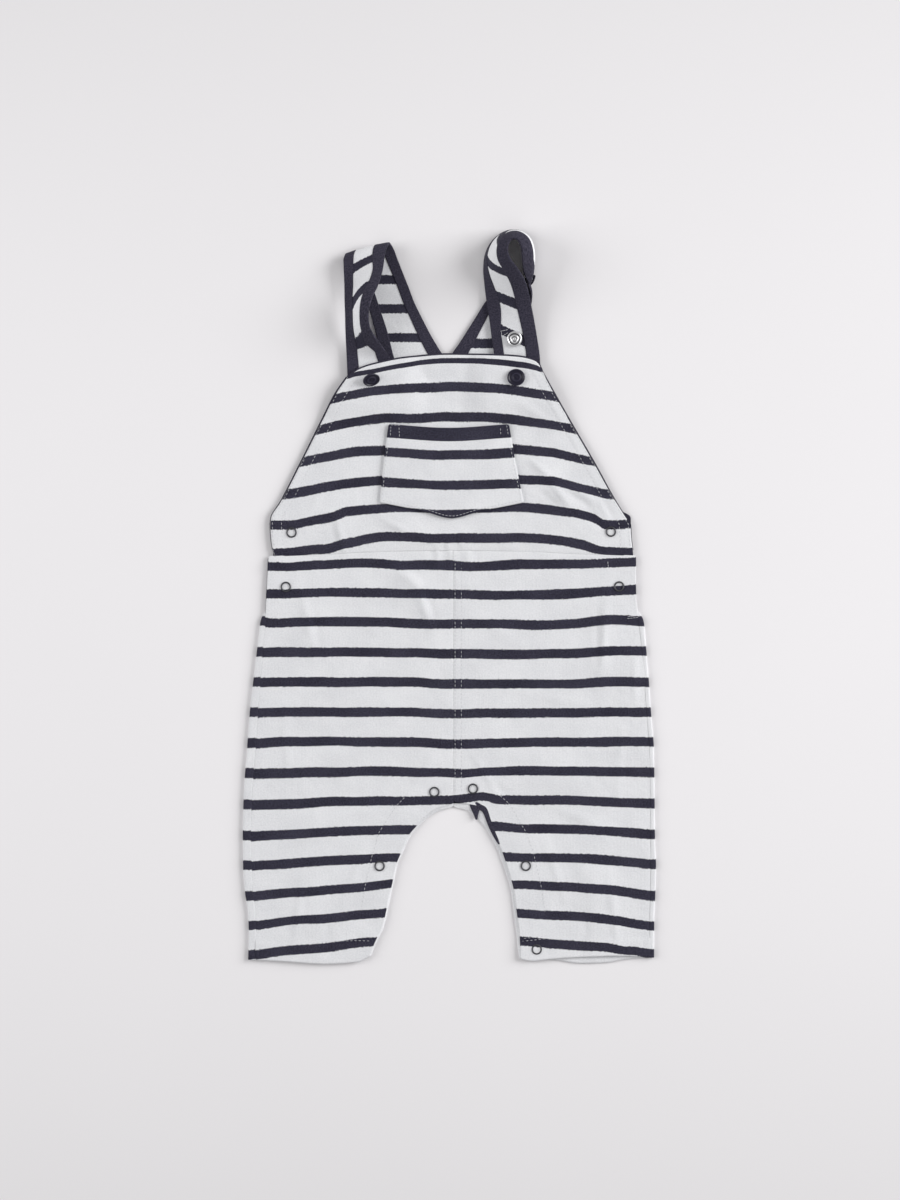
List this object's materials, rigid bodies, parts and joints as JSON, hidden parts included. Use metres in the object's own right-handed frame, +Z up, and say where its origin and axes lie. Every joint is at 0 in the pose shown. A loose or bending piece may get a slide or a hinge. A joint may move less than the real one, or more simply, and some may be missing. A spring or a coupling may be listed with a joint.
{
  "type": "baby dungarees laid flat",
  "caption": "Baby's dungarees in striped jersey laid on their back: bib with patch pocket, bound straps folded over at the top, press studs at bib, hips and inner legs.",
  "frame": {"origin": "under the middle of the laid-out garment's box, on the surface that its back lies on", "axes": "+Y from the trouser hems to the straps, +X to the right as seen from above with the straps up, +Z up through the front"},
  "size_m": [0.277, 0.493, 0.0271],
  "materials": {
    "striped_jersey": "matt heavy cotton jersey, white with navy stripes",
    "navy_tape": "matt navy cotton jersey tape",
    "navy_lacquer": "satin navy lacquer on pressed metal",
    "stud_metal": "bright nickel-plated press stud metal"
  },
  "bodies": {
    "root": {"bib_front": "striped_jersey", "bib_facing_top": "navy_tape", "bib_facing_left": "navy_tape", "bib_facing_right": "navy_tape", "pocket": "striped_jersey", "front_leg_left": "striped_jersey", "front_leg_right": "striped_jersey", "back_leg_left": "striped_jersey", "back_leg_right": "striped_jersey", "back_bodice": "striped_jersey", "back_binding_left": "navy_tape", "back_binding_right": "navy_tape", "strap_left": "striped_jersey", "strap_left_binding_outer": "navy_tape", "strap_left_binding_inner": "navy_tape", "strap_right": "striped_jersey", "strap_right_binding_outer": "navy_tape", "strap_right_binding_inner": "navy_tape", "stud_hip_left_high": "stud_metal", "stud_hip_left_low": "stud_metal", "stud_hip_right_high": "stud_metal", "stud_hip_right_low": "stud_metal", "stud_crotch_left": "stud_metal", "stud_crotch_right": "stud_metal", "stud_leg_left": "stud_metal", "stud_leg_right": "stud_metal", "stud_hem_right": "stud_metal", "stud_strap_right": "stud_metal", "cap_bib_left": "navy_lacquer", "cap_bib_right": "navy_lacquer", "cap_strap_right": "navy_lacquer"}
  },
  "joints": []
}
